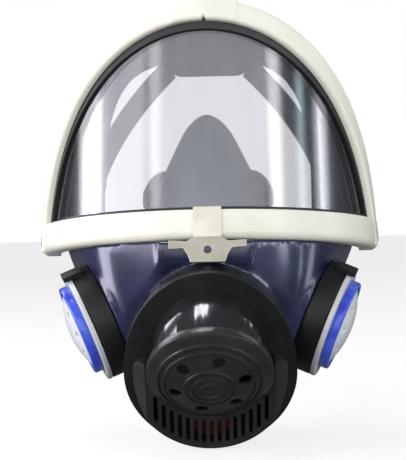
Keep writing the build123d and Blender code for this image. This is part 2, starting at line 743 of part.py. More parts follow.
def port_collar(side):
    tube_inside = PORT_TUBE_RADIUS - PORT_TUBE_WALL
    shape = disc(PORT_RADIUS, 0, PORT_DEPTH)
    shape = fillet(shape.edges().filter_by(GeomType.CIRCLE), 1.0)
    rim = PORT_RADIUS + 3.2
    latch = block(-LATCH_HALF, LATCH_HALF, PORT_RADIUS - 3, rim, PORT_DEPTH - 6, PORT_DEPTH - 1.5)
    hook = block(-LATCH_HALF, LATCH_HALF, PORT_RADIUS + 0.6, rim, PORT_DEPTH - 3, PORT_DEPTH + 4.5)
    shape = shape + Rot(Z=side * LATCH_TURN) * (latch + hook)
    shape = shape - disc(PORT_BORE, 2, PORT_DEPTH + 1)
    shape = shape + disc(PORT_TUBE_RADIUS, -TUBE_IN, 1) - disc(tube_inside, -TUBE_IN - 1, 3)
    shape = shape - ring(GROOVE_RADIUS, PORT_BORE - 1, GROOVE_LOW, GROOVE_HIGH)
    for step in range(LUG_COUNT):
        turn = 360 * step / LUG_COUNT + TWIST
        shape = shape - lug_sector(GROOVE_RADIUS, PORT_BORE - 1, GROOVE_LOW, PORT_DEPTH + 1, turn,
                                   LUG_ANGLE + 6)
    return shape - ring(PORT_RADIUS - 2, PORT_RADIUS - 6, PORT_DEPTH - GASKET_DEPTH, PORT_DEPTH + 1)


def filter_parts():
    foot = PORT_DEPTH + FILTER_GAP
    top = foot + FILTER_BASE
    base = disc(PORT_RADIUS, foot, top)
    base = fillet(base.edges().group_by(Axis.Z)[-1], 1.0)
    neck = ring(PORT_BORE - RUN_GAP, PORT_BORE - 3, GROOVE_LOW + 0.4, foot + 0.5)
    base = base + neck
    for step in range(LUG_COUNT):
        turn = 360 * step / LUG_COUNT
        base = base + lug_sector(GROOVE_RADIUS - RUN_GAP, PORT_BORE - 1.5, GROOVE_LOW + 0.4,
                                 GROOVE_HIGH - 0.4, turn, LUG_ANGLE)
    for step in range(FILTER_WINDOWS):
        window = Pos(FILTER_WINDOW_RING, 0, 0) * disc(FILTER_WINDOW_RADIUS, foot - 1, top + 1)
        base = base - Rot(Z=360 * step / FILTER_WINDOWS) * window
    inside = FILTER_RING_RADIUS - FILTER_RING_WALL
    band_ring = ring(FILTER_RING_RADIUS, inside, top, top + FILTER_RING_DEPTH)
    band_ring = chamfer(band_ring.edges().group_by(Axis.Z)[-1], 0.7)
    cover = disc(inside, top, top + FILTER_RING_DEPTH - 1.5)
    cover = cover + dome(inside, FILTER_DOME, top + FILTER_RING_DEPTH - 1.5, 0)
    hollow = dome(inside, FILTER_DOME, top + FILTER_RING_DEPTH - 1.5, -FILTER_WALL)
    hollow = hollow & disc(inside - FILTER_WALL, top, top + FAR / 8)
    cover = cover - hollow - disc(inside - FILTER_WALL, top - 1, top + FILTER_RING_DEPTH - 1.4)
    for step in range(FILTER_VENTS):
        vent = Pos(0.69 * inside, 0, 0) * disc(FILTER_VENT_RADIUS, top, top + FAR / 8)
        cover = cover - Rot(Z=360 * step / FILTER_VENTS) * vent
    element = disc(inside - FILTER_WALL - 0.2, top, top + FILTER_RING_DEPTH - 1.6)
    return {"filter_base": base, "filter_ring": band_ring, "filter_cover": cover,
            "filter_element": element}


def make_ports():
    for name, side in SIDES.items():
        port = port_plane(side)
        save(port * port_collar(side), f"port_collar_{name}")
        gasket = ring(PORT_RADIUS - 2, PORT_RADIUS - 6, PORT_DEPTH - GASKET_DEPTH, PORT_DEPTH)
        save(port * gasket, f"port_gasket_{name}")
        tube_inside = PORT_TUBE_RADIUS - PORT_TUBE_WALL
        inward = port * Pos(0, 0, -SEAT_IN) * Rot(X=180)
        seat = spoked_seat(tube_inside, tube_inside - 2.2, -2, 0, 3.0, STEM_RADIUS + PIN_GAP * 2)
        save(inward * seat, f"inhalation_seat_{name}")
        save(inward * flap(tube_inside - 1.2, 0), f"inhalation_flap_{name}")
        for node, shape in filter_parts().items():
            save(port * shape, f"{node}_{name}")


# ------------------------------------------------------------------ nose cup
def cup_loft(inset, extra):
    faces = []
    for z, half, front in CUP_OUTLINES:
        depth = front + CUP_BACK_Y - inset
        face = Ellipse(half - inset, depth)
        faces.append(Pos(0, CUP_BACK_Y, z + extra) * face)
    return loft(faces)


CHECK_OUT = {"left": Vector(-0.62, -0.70, 0.35).normalized(), "right": Vector(0.62, -0.70, 0.35).normalized()}
CHECK_X = 27.0
CHECK_Y = -44.0
CHECK_Z = 21.0
CHECK_RIM = 2.0
CHECK_DEPTH = 16.0


def check_plane(name):
    side = SIDES[name]
    return Plane(origin=(side * CHECK_X, CHECK_Y, CHECK_Z), x_dir=Vector(0, 0, 1).cross(CHECK_OUT[name]),
                 z_dir=CHECK_OUT[name])


def snout(radius, low, high):
    return FLANGE * Pos(0, SNOUT_OFFSET) * disc(radius, low, high)


SNOUT_FRONT = NECK_BACK - 8.0
SNOUT_BACK = NECK_BACK - 26.0


def nose_cup():
    outer = cup_loft(0, 0)
    inner = cup_loft(CUP_WALL, -CUP_WALL * 0.6)
    rear = block(-FAR, FAR, CUP_BACK_Y, FAR, -FAR, FAR)
    shape = outer
    shape = shape + snout(SNOUT_RADIUS, SNOUT_BACK, SNOUT_FRONT)
    for name in SIDES:
        shape = shape + check_plane(name) * disc(CHECK_RADIUS + CHECK_RIM, -CHECK_DEPTH, 0)
    shape = shape - inner - rear
    shape = shape - snout(SNOUT_RADIUS - CUP_WALL, SNOUT_BACK - 8, SNOUT_FRONT + 1)
    for name in SIDES:
        shape = shape - check_plane(name) * disc(CHECK_RADIUS, -CHECK_DEPTH - 8, 1)
    return max(shape.solids(), key=lambda solid: solid.volume)


def make_nose_cup():
    save(nose_cup(), "nose_cup")
    radius = SNOUT_RADIUS - CUP_WALL
    holder = snout(radius, SNOUT_FRONT - 5, SNOUT_FRONT + 2) - snout(radius - 1.8, -FAR / 8, FAR / 8)
    holder = holder + (snout(SNOUT_RADIUS + 2, SNOUT_FRONT, SNOUT_FRONT + 2) - snout(radius - 1, -FAR / 8, FAR / 8))
    save(holder, "nose_cup_ring")
    for name in SIDES:
        place = check_plane(name)
        inward = place * Pos(0, 0, -4) * Rot(X=180)
        seat = spoked_seat(CHECK_RADIUS, CHECK_RADIUS - 1.8, -2, 0, 2.6, STEM_RADIUS + PIN_GAP * 2)
        save(inward * seat, f"check_seat_{name}")
        save(inward * flap(CHECK_RADIUS - 1.0, 0), f"check_flap_{name}")


# ------------------------------------------------------------------ head harness
HEAD = Vector(0, 85, 45)


def route_arc(name):
    return ThreePointArc(*STRAP_ROUTES[name])


def arc_side(arc):
    """Unit vector across the strap, square to the plane that its arc lies in."""
    start = arc.position_at(0)
    return (arc.position_at(0.5) - start).cross(arc.position_at(1) - start).normalized()


def station(name, distance):
    """Frame on a strap's arc: x along the strap, y across it, z away from the head."""
    arc = route_arc(name)
    here = arc.position_at(distance / arc.length)
    along = arc.tangent_at(distance / arc.length)
    across = arc_side(arc)
    if along.cross(across).dot(here - HEAD) < 0:
        across = -across
    return Plane(origin=here, x_dir=along, z_dir=along.cross(across))


def ribbon(arc, start, width, thickness):
    """Band of webbing along an arc, from the distance `start` to the arc's end."""
    centre = arc.arc_center
    radius = arc.radius
    first = start / arc.length
    stops = [arc.position_at(stop) for stop in (first, (1 + first) / 2, 1)]
    outer = [centre + (stop - centre) * ((radius + thickness / 2) / radius) for stop in stops]
    inner = [centre + (stop - centre) * ((radius - thickness / 2) / radius) for stop in stops]
    edges = [ThreePointArc(*outer), Line(outer[2], inner[2]), ThreePointArc(*inner[::-1]),
             Line(inner[0], outer[0])]
    return extrude(make_face(edges), width / 2, both=True)


BUCKLE_MIDDLE = LUG_REACH + BUCKLE_LENGTH / 2
BUCKLE_END = LUG_REACH + BUCKLE_LENGTH
FLOOR_TOP = -STRAP_THICKNESS / 2
FLOOR_LOW = FLOOR_TOP - BUCKLE_WALL * 0.8
CHANNEL = STRAP_WIDTH / 2 + RUN_GAP
BUCKLE_HALF = CHANNEL + BUCKLE_WALL
PIN_LEVEL = STRAP_THICKNESS / 2 + RUN_GAP + LEVER_BARREL
PIN_ALONG = BUCKLE_LENGTH / 2 - 5.0
BUCKLE_TOP = PIN_LEVEL + PIN_RADIUS + 1.0


def strap_lug(name):
    """Rubber tongue from the facepiece's edge to the buckle."""
    half = STRAP_WIDTH / 2 + 1
    lug = block(-6, LUG_REACH / 2, -half, half, -1.6, 1.6)
    return station(name, LUG_REACH / 2) * lug


def buckle_space(name):
    half = BUCKLE_LENGTH / 2
    space = block(-half, half, -BUCKLE_HALF, BUCKLE_HALF, FLOOR_LOW, BUCKLE_TOP)
    return station(name, BUCKLE_MIDDLE) * space


def strap(name):
    arc = route_arc(name)
    half = BUCKLE_LENGTH / 2
    web = ribbon(arc, BUCKLE_END + 0.5, STRAP_WIDTH, STRAP_THICKNESS)
    tail = block(half - BUCKLE_TAIL, half + 1.5, -STRAP_WIDTH / 2, STRAP_WIDTH / 2,
                 FLOOR_TOP, FLOOR_TOP + STRAP_THICKNESS)
    return web + station(name, BUCKLE_MIDDLE) * tail


def pin_rod(radius, half):
    rod = Pos(PIN_ALONG, 0, PIN_LEVEL) * Rot(X=90) * Cylinder(radius, 2 * half)
    return rod


def buckle():
    half = BUCKLE_LENGTH / 2
    shape = block(-half, half, -BUCKLE_HALF, BUCKLE_HALF, FLOOR_LOW, BUCKLE_TOP)
    shape = fillet(shape.edges().filter_by(Axis.Z), 2.0)
    shape = shape - block(-half + BUCKLE_WALL, half + 1, -CHANNEL, CHANNEL, FLOOR_TOP, BUCKLE_TOP + 1)
    return shape - pin_rod(PIN_RADIUS, BUCKLE_HALF + 1)


def lever():
    half = BUCKLE_LENGTH / 2
    width = CHANNEL - RUN_GAP
    barrel = pin_rod(LEVER_BARREL, width)
    top = PIN_LEVEL + LEVER_BARREL
    plate = block(-half + BUCKLE_WALL + 1.5, PIN_ALONG, -width, width, top - LEVER_THICKNESS, top)
    return barrel + plate - pin_rod(PIN_RADIUS + PIN_GAP, width + 1)


def head_pad():
    pad = ribbon(ThreePointArc(*PAD_ARC), 0, PAD_WIDTH, PAD_THICKNESS)
    corners = [edge for edge in pad.edges() if abs(edge.length - PAD_THICKNESS) < 0.01]
    return fillet(corners, PAD_CORNER)


def make_harness():
    pad = head_pad()
    pins = []
    for name in STRAP_ROUTES:
        web = strap(name)
        place = station(name, BUCKLE_MIDDLE)
        pad = pad - web
        save(web, f"{name}_strap")
        save(place * buckle(), f"{name}_buckle")
        save(place * lever(), f"{name}_lever")
        pins.append(place * pin_rod(PIN_RADIUS, BUCKLE_HALF))
    save(Compound(pins), "lever_pins")
    save(pad, "head_pad")


make_window()
save(WINDOW * clip(), "frame_clip")
save(facepiece(), "facepiece")
make_front()
make_ports()
make_nose_cup()
make_harness()
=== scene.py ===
import json
from math import acos, atan2, cos, hypot, pi, radians, sin, sqrt, tau

import bmesh
import bpy
from mathutils import Matrix, Vector

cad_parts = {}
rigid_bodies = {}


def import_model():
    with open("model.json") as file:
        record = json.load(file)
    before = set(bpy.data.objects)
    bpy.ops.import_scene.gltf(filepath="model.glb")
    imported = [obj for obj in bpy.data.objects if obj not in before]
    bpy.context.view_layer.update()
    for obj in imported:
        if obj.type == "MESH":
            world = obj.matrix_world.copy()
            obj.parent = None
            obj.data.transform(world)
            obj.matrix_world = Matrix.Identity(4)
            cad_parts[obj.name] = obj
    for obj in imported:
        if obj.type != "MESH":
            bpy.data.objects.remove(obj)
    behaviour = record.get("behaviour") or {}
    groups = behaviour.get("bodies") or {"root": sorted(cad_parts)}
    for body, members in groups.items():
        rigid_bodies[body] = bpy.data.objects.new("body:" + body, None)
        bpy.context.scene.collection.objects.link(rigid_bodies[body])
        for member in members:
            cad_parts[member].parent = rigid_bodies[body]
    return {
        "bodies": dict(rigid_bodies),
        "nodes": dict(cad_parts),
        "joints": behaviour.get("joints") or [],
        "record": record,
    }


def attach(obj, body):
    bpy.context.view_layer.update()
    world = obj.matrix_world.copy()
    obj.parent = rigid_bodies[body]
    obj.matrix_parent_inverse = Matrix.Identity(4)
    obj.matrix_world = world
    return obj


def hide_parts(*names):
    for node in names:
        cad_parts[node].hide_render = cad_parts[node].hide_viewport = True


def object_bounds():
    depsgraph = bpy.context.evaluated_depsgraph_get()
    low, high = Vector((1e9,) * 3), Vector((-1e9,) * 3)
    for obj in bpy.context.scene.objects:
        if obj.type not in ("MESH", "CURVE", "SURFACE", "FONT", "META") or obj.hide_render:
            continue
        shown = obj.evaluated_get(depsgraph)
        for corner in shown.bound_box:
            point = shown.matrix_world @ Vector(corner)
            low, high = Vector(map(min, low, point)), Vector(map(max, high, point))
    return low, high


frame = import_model()
cad_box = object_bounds()
nodes = frame["nodes"]
MM = 0.001
SIDES = {"left": -1, "right": 1}
SLOT_OF = {part["node"]: part["material_slot"] for part in frame["record"]["subparts"]}
WELD_GAP = 0.002
EDGE_ROUND = 0.25
SHARP_TURN = radians(32)


# ------------------------------------------------------------------ finishes
def shade(red, green, blue):
    """Linear colour from the screen values of a swatch, 0 to 255."""
    parts = (value / 255 for value in (red, green, blue))
    return (*(p / 12.92 if p <= 0.04045 else ((p + 0.055) / 1.055) ** 2.4 for p in parts), 1.0)


class Flow:
    """Value that varies over a surface; arithmetic on it adds Math nodes."""

    def __init__(self, tree, socket=None):
        self.tree = tree
        self.socket = socket

    def node(self, kind, settings, inputs, output=0):
        """Any node: its settings first, then the values or links of its sockets."""
        made = self.tree.nodes.new("ShaderNode" + kind)
        for name, value in settings.items():
            if name == "stops":
                ends = made.color_ramp.elements
                ends[0].position, ends[0].color = value[0]
                ends[1].position, ends[1].color = value[-1]
                for place, colour in value[1:-1]:
                    made.color_ramp.elements.new(place).color = colour
            else:
                setattr(made, name, value)
        for name, value in inputs.items():
            if isinstance(value, Flow):
                self.tree.links.new(value.socket, made.inputs[name])
            else:
                made.inputs[name].default_value = value
        return Flow(self.tree, made.outputs[output])

    def math(self, operation, *values):
        return self.node("Math", {"operation": operation}, dict(enumerate(values)))

    def __add__(self, other):
        return self.math("ADD", self, other)

    def __sub__(self, other):
        return self.math("SUBTRACT", self, other)

    def __mul__(self, other):
        return self.math("MULTIPLY", self, other)

    def between(self, low, high):
        """0 below `low`, 1 above `high`, smooth between."""
        ends = {"From Min": low, "From Max": high}
        return self.node("MapRange", {"interpolation_type": "SMOOTHSTEP"}, {"Value": self, **ends})

    def tint(self, low, high):
        """Colour that goes from `low` to `high` as this value goes from 0 to 1."""
        return self.node("Mix", {"data_type": "RGBA"}, {0: self, 6: low, 7: high}, 2)


class Finish:
    """Material of one of the mask's own finishes."""

    def __init__(self, name, roughness, **fixed):
        self.material = bpy.data.materials.new(name)
        self.material.use_nodes = True
        self.tree = self.material.node_tree
        self.shader = self.tree.nodes["Principled BSDF"]
        self.flow = Flow(self.tree)
        self.shader.inputs["Roughness"].default_value = roughness
        for socket, value in fixed.items():
            self.shader.inputs[socket.replace("_", " ")].default_value = value
        self.place = self.flow.node("TexCoord", {}, {}, "Object")

    def noise(self, size, detail=2.0, place=None, stretch=None):
        """Noise with features about `size` millimetres wide."""
        where = place or self.place
        if stretch:
            where = self.flow.node("Mapping", {}, {"Vector": where, "Scale": stretch})
        inputs = {"Vector": where, "Scale": 1 / (size * MM), "Detail": detail}
        return self.flow.node("TexNoise", {}, inputs)

    def set(self, **sockets):
        for name, value in sockets.items():
            self.tree.links.new(value.socket, self.shader.inputs[name.replace("_", " ")])
        return self

    def bump(self, height, depth, strength=1.0):
        """Raises the surface by `height` times `depth` millimetres."""
        lift = {"Height": height, "Distance": depth * MM, "Strength": strength}
        return self.set(Normal=self.flow.node("Bump", {}, lift))


def plastic(name, low, high, roughness, grain, depth, size=14.0, spread=0.12, **fixed):
    """Moulded plastic or rubber: slow colour drift, uneven gloss and a fine grain."""
    made = Finish(name, roughness, **fixed)
    drift = made.noise(size, 3.0)
    fine = made.noise(grain, 2.0)
    made.set(Base_Color=drift.between(0.3, 0.7).tint(low, high))
    made.set(Roughness=made.noise(size * 0.4, 4.0) * spread + (roughness - spread / 2))
    return made.bump(fine, depth)


def brushed(name, low, high, roughness, stretch, depth, **fixed):
    """Metal with fine lines drawn along one direction."""
    made = Finish(name, roughness, **fixed)
    lines = made.noise(0.35, 3.0, stretch=stretch)
    cloud = made.noise(18.0, 3.0)
    made.set(Base_Color=cloud.between(0.3, 0.7).tint(low, high))
    made.set(Roughness=lines * 0.12 + cloud * 0.08 + (roughness - 0.1))
    return made.bump(lines, depth)


FINISHES = {
    "silicone": plastic("navy_silicone", shade(30, 35, 54), shade(46, 53, 78), 0.24, 2.4, 0.006, 22.0,
                        Coat_Weight=0.7, Coat_Roughness=0.12, Coat_Tint=shade(214, 212, 255),
                        Specular_IOR_Level=0.7),
    "seal_rubber": plastic("seal_rubber", shade(15, 15, 16), shade(26, 26, 28), 0.42, 0.5, 0.02),
    "frame_cream": plastic("cream_moulding", shade(232, 230, 216), shade(240, 238, 226),
                           0.36, 0.6, 0.006, 30.0,
                           Coat_Weight=0.15, Coat_Roughness=0.3,
                           Subsurface_Weight=0.05, Subsurface_Scale=0.003),
    "steel": brushed("screw_steel", shade(150, 150, 152), shade(178, 178, 180),
                     0.3, (1, 6, 1), 0.01, Metallic=1.0),
    "clip_metal": brushed("clip_nickel", shade(196, 191, 176), shade(214, 210, 197),
                          0.34, (1, 14, 14), 0.008,
                          Metallic=0.55),
    "housing_black": plastic("housing_black", shade(24, 26, 26), shade(34, 36, 36),
                             0.5, 0.35, 0.03, 20.0,
                             Specular_IOR_Level=0.3),
    "clamp_metal": brushed("clamp_metal", shade(58, 60, 64), shade(84, 86, 90), 0.24, (14, 1, 1), 0.006,
                           Metallic=0.85),
    "barrel_gloss": plastic("barrel_gunmetal", shade(74, 75, 80), shade(92, 93, 98),
                            0.17, 0.5, 0.004, 24.0, 0.05,
                            Metallic=0.85, Coat_Weight=0.6, Coat_Roughness=0.05),
    "cap_black": plastic("cap_black", shade(30, 30, 31), shade(40, 40, 41), 0.34, 0.3, 0.02, 16.0,
                        Specular_IOR_Level=0.5, Coat_Weight=0.3, Coat_Roughness=0.2),
    "collar_black": plastic("collar_black", shade(20, 21, 20), shade(31, 32, 31), 0.48, 0.35, 0.03, 18.0,
                            Specular_IOR_Level=0.3),
    "film": plastic("diaphragm_film", shade(188, 178, 150), shade(206, 198, 172),
                    0.2, 2.0, 0.05, Metallic=0.2),
    "flap_rubber": plastic("flap_rubber", shade(86, 30, 26), shade(112, 42, 34), 0.45, 0.5, 0.02),
    "seat_plastic": plastic("seat_plastic", shade(28, 29, 33), shade(40, 41, 46), 0.35, 0.4, 0.01),
    "cup_silicone": plastic("slate_silicone", shade(58, 66, 86), shade(78, 87, 106),
                            0.36, 0.9, 0.02, 20.0,
                            Coat_Weight=0.2, Coat_Roughness=0.2),
    "filter_white": plastic("filter_white", shade(226, 230, 236), shade(240, 243, 247),
                            0.3, 0.5, 0.006, 20.0,
                            Coat_Weight=0.3, Coat_Roughness=0.15),
    "filter_grey": plastic("filter_grey", shade(188, 190, 194), shade(204, 206, 210),
                           0.34, 0.4, 0.008, 20.0),
    "filter_blue": plastic("filter_blue", shade(46, 62, 206), shade(74, 108, 228), 0.3, 0.6, 0.006, 18.0,
                           Coat_Weight=0.4, Coat_Roughness=0.1),
    "filter_paper": plastic("filter_paper", shade(222, 220, 210), shade(238, 236, 228),
                            0.85, 0.25, 0.08, 4.0),
    "strap_rubber": plastic("strap_rubber", shade(22, 23, 27), shade(33, 34, 39), 0.5, 0.4, 0.03),
    "buckle_black": plastic("buckle_black", shade(19, 20, 22), shade(30, 31, 33), 0.42, 0.35, 0.02),
    "lever_steel": brushed("lever_steel", shade(160, 160, 162), shade(186, 186, 188),
                           0.28, (12, 1, 1), 0.01,
                           Metallic=1.0),
}


def make_lens_finish():
    """Clear polycarbonate: light passes straight through and its skin mirrors the room."""
    made = Finish("clear_polycarbonate", 0.16, Metallic=1.0)
    flow = made.flow
    # Noise drawn out into vertical streaks and painted into the skin's mirror tint: painted reflection
    # streaks.
    reflection_streaks = made.noise(9.0, 3.0, stretch=(1, 1, 0.06))
    made.set(Base_Color=reflection_streaks.tint(shade(236, 238, 246), shade(250, 250, 255)))
    clear = flow.node("BsdfTransparent", {}, {"Color": shade(228, 228, 230)})
    rim = flow.node("LayerWeight", {}, {"Blend": 0.3}, "Fresnel")
    skin = Flow(made.tree, made.shader.outputs["BSDF"])
    # The painted reflection streaks also raise the share of the mirroring skin in places.
    share = rim * 0.7 + reflection_streaks * 0.03 + 0.05
    mixed = flow.node("MixShader", {}, {0: share, 1: clear, 2: skin})
    made.tree.links.new(mixed.socket, made.tree.nodes["Material Output"].inputs["Surface"])
    return made


FINISHES["lens"] = make_lens_finish()


def dress(node):
    """Gives a CAD node its finish, with its sharp edges rounded off."""
    piece = nodes[node]
    slot = SLOT_OF[node]
    piece.data.materials.clear()
    piece.data.materials.append(FINISHES[slot].material)
    weld = piece.modifiers.new("weld", "WELD")
    weld.merge_threshold = WELD_GAP * MM
    bevel = piece.modifiers.new("ease", "BEVEL")
    bevel.width = EDGE_ROUND * MM
    bevel.segments = 2
    bevel.limit_method = "ANGLE"
    bevel.angle_limit = SHARP_TURN
    bevel.harden_normals = True


# ------------------------------------------------------------------ places, in millimetres
WINDOW = Matrix.Rotation(radians(-6.5), 4, "X")


# ------------------------------------------------------------------ shaping
def grid(columns, rows, place):
    """Sheet of quads: place(u, v) says where each corner goes, u and v from 0 to 1."""
    bm = bmesh.new()
    bmesh.ops.create_grid(bm, x_segments=columns, y_segments=rows, size=0.5)
    for corner in bm.verts:
        corner.co = place(corner.co.x + 0.5, corner.co.y + 0.5)
    return bm


def swept(section, rows, frame):
    """Solid drawn along `rows` steps: frame(v) sets the closed `section(v)` in space."""
    count = len(section(0))

    def place(u, v):
        x, y = section(v)[round(u * count) % count]
        return frame(v, x, y)

    bm = grid(count, rows, place)
    bmesh.ops.remove_doubles(bm, verts=bm.verts, dist=1e-4)
    bmesh.ops.holes_fill(bm, edges=[e for e in bm.edges if e.is_boundary], sides=0)
    bmesh.ops.recalc_face_normals(bm, faces=bm.faces)
    return bm


def ease(bm, width, segments=2, angle=32):
    """Rounds every edge that turns by more than `angle` degrees."""
    sharp = [e for e in bm.edges if e.is_manifold and e.calc_face_angle(0) > radians(angle)]
    bmesh.ops.bevel(bm, geom=sharp, offset=width, offset_type="OFFSET", affect="EDGES", segments=segments,
                    profile=0.5, material=-1, clamp_overlap=True)
    return bm


def rounded(x0, x1, y0, y1, radii, steps=4):
    """Rectangle with rounded corners, from the low corner round by way of (x1, y0)."""
    corners = ((x0, y0, 1, 1, pi), (x1, y0, -1, 1, 1.5 * pi), (x1, y1, -1, -1, 0), (x0, y1, 1, -1, 0.5 * pi))
    points = []
    for (x, y, sx, sy, start), radius in zip(corners, radii):
        for step in range(steps + 1):
            turn = start + step / steps * pi / 2
            points.append((x + sx * radius + radius * cos(turn), y + sy * radius + radius * sin(turn)))
    return points


def mesh_of(name, bm, place=Matrix(), smooth=35):
    """Mesh in metres from a shape in millimetres, shaded smooth up to `smooth` degrees."""
    bmesh.ops.transform(bm, matrix=Matrix.Scale(MM, 4) @ place, verts=bm.verts)
    mesh = bpy.data.meshes.new(name)
    bm.to_mesh(mesh)
    bm.free()
    mesh.shade_smooth()
    mesh.set_sharp_from_angle(angle=radians(smooth))
    return mesh


def add_piece(name, mesh, body, replaced, slot=None):
    """Shows `mesh` as a piece that rides on `body` and stands for the CAD nodes `replaced`."""
    piece = bpy.data.objects.new(name, mesh)
    bpy.context.scene.collection.objects.link(piece)
    slot = slot or SLOT_OF[replaced[0]]
    mesh.materials.clear()
    mesh.materials.append(FINISHES[slot].material)
    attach(piece, body)
    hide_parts(*replaced)
    return piece


def settled(piece):
    """Turns a piece's modifiers into plain mesh."""
    graph = bpy.context.evaluated_depsgraph_get()
    mesh = bpy.data.meshes.new_from_object(piece.evaluated_get(graph))
    piece.modifiers.clear()
    old = piece.data
    piece.data = mesh
    bpy.data.meshes.remove(old)
    return piece


def cut(piece, cutters, place=Matrix()):
    """Takes the closed shapes `cutters` out of a piece."""
    tool_bm = joined(cutters)
    tool = bpy.data.objects.new("cutter", mesh_of("cutter", tool_bm, place))
    bpy.context.scene.collection.objects.link(tool)
    bite = piece.modifiers.new("bite", "BOOLEAN")
    bite.object = tool
    bite.operation = "DIFFERENCE"
    bite.solver = "EXACT"
    settled(piece)
    bpy.data.objects.remove(tool)
    return piece


def joined(shapes):
    """One bmesh that holds several."""
    whole = bmesh.new()
    for shape in shapes:
        part = bpy.data.meshes.new("part")
        shape.to_mesh(part)
        shape.free()
        whole.from_mesh(part)
        bpy.data.meshes.remove(part)
    return whole


def rod(radius, low, high, x=0.0, y=0.0, steps=32):
    """Round bar along Z between two levels."""
    bm = bmesh.new()
    middle = Matrix.Translation((x, y, (low + high) / 2))
    bmesh.ops.create_cone(bm, cap_ends=True, segments=steps, radius1=radius, radius2=radius,
                          depth=high - low, matrix=middle)
    return bm


def step(value, low, high):
    """0 below `low`, 1 above `high`, smooth between."""
    t = min(1.0, max(0.0, (value - low) / (high - low)))
    return t * t * (3 - 2 * t)


# ------------------------------------------------------------------ window and its frame
LENS_HALF_WIDTH = 91.5
LENS_DEPTH = 81.5
LENS_CENTRE_Y = -10.0
LENS_WALL = 2.5
LENS_BITE = 2.0
LENS_FLOOR = -10.1
ARCH_TOP = (-91.5, 110.2)
ARCH_FOOT_Y = -25.3
ARCH_BULGE = 5.0
ARCH_WIDTH = 11.0
ARCH_END = acos((LENS_CENTRE_Y - ARCH_FOOT_Y - 4.0) / LENS_DEPTH)
FRAME_OUT = 5.0
FRAME_IN = 5.7
BAND_HEIGHT = 15.5
SEAL_WALL = 1.2


def arch_circle():
    """Centre and radius of the long arc that the arch follows, seen from the side."""
    run, rise = ARCH_FOOT_Y - ARCH_TOP[0], ARCH_TOP[1]
    chord = hypot(run, rise)
    radius = (chord * chord / 4 + ARCH_BULGE ** 2) / (2 * ARCH_BULGE)
    back = radius - ARCH_BULGE
    return (ARCH_TOP[0] + ARCH_FOOT_Y) / 2 - back * rise / chord, rise / 2 - back * run / chord, radius


ARCH_Y, ARCH_Z, ARCH_RADIUS = arch_circle()


def wall_point(turn, out, z):
    """Point `out` in front of the lens's outer face, `turn` round from its middle."""
    return Vector(((LENS_HALF_WIDTH + out) * sin(turn), LENS_CENTRE_Y - (LENS_DEPTH + out) * cos(turn), z))


def arch_height(y, inset):
    return ARCH_Z + sqrt((ARCH_RADIUS - inset) ** 2 - (y - ARCH_Y) ** 2)


def arch_point(turn, depth):
    point = wall_point(turn, -depth, 0)
    return Vector((point.x, point.y, arch_height(point.y, 0)))


def arch_frame_at(turn, inward_by, out_by):
    """Point near the arch's edge: `inward_by` along the lens and `out_by` off its middle."""
    middle = (FRAME_IN - FRAME_OUT) / 2
    along = (arch_point(turn + 0.01, middle) - arch_point(turn - 0.01, middle)).normalized()
    out = Vector((sin(turn) / LENS_HALF_WIDTH, -cos(turn) / LENS_DEPTH, 0))
    out = (out - along * out.dot(along)).normalized()
    return arch_point(turn, middle) + along.cross(out) * inward_by + out * out_by


def spread(v, tight):
    """Runs from -1 to 1 with its steps closer together about the middle."""
    s = 2 * v - 1
    return tight * s + (1 - tight) * s ** 3


LENS_END = radians(77.4)


def make_lens():

    def place(u, v):
        turn = LENS_END * (2 * u - 1)
        top = arch_height(wall_point(turn, 0, 0).y, LENS_BITE)
        return wall_point(turn, 0, LENS_FLOOR + (max(top, LENS_FLOOR + 1) - LENS_FLOOR) * v)

    bm = grid(180, 40, place)
    bmesh.ops.recalc_face_normals(bm, faces=bm.faces)
    bmesh.ops.solidify(bm, geom=bm.faces[:], thickness=LENS_WALL)
    bmesh.ops.recalc_face_normals(bm, faces=bm.faces)
    return add_piece("window_lens", mesh_of("window_lens", bm, WINDOW), "mask", ["visor"])


LIP_SIDE = 1.6
LIP_CROWN = 3.2
FOOT_LOW = -9.0
FOOT_SHOW = 1.7
FOOT_END = radians(80)


def make_gasket():
    """Black edge seal: a lip round the arch and a thin one over the band."""
    high = (FRAME_IN - FRAME_OUT) / 2 + SEAL_WALL
    low = (FRAME_IN - FRAME_OUT) / 2 - LENS_WALL - SEAL_WALL

    def lip(v):
        reach = ARCH_WIDTH + LIP_SIDE + LIP_CROWN * cos(spread(v, 1) * pi / 2)
        return rounded(0.6, reach, low, high, (0.5, 1.1, 1.1, 0.5))

    arch = swept(lip, 120, lambda v, x, y: arch_frame_at(ARCH_END * spread(v, 1), x, y))

    def foot(v):
        return rounded(-LENS_WALL - SEAL_WALL, SEAL_WALL, FOOT_LOW, FOOT_SHOW, (0.3, 0.3, 0.7, 0.7))

    base = swept(foot, 120, lambda v, x, y: wall_point(FOOT_END * spread(v, 1), x, y))
    bm = joined([arch, base])
    return add_piece("window_gasket", mesh_of("window_gasket", bm, WINDOW), "mask", ["visor_seal"])


CREST_HALF = 17.5
CREST_LIFT = 0.9
CREST_EDGE = 1.2
NOTCH_HALF = 1.5
NOTCH_DEPTH = 1.7


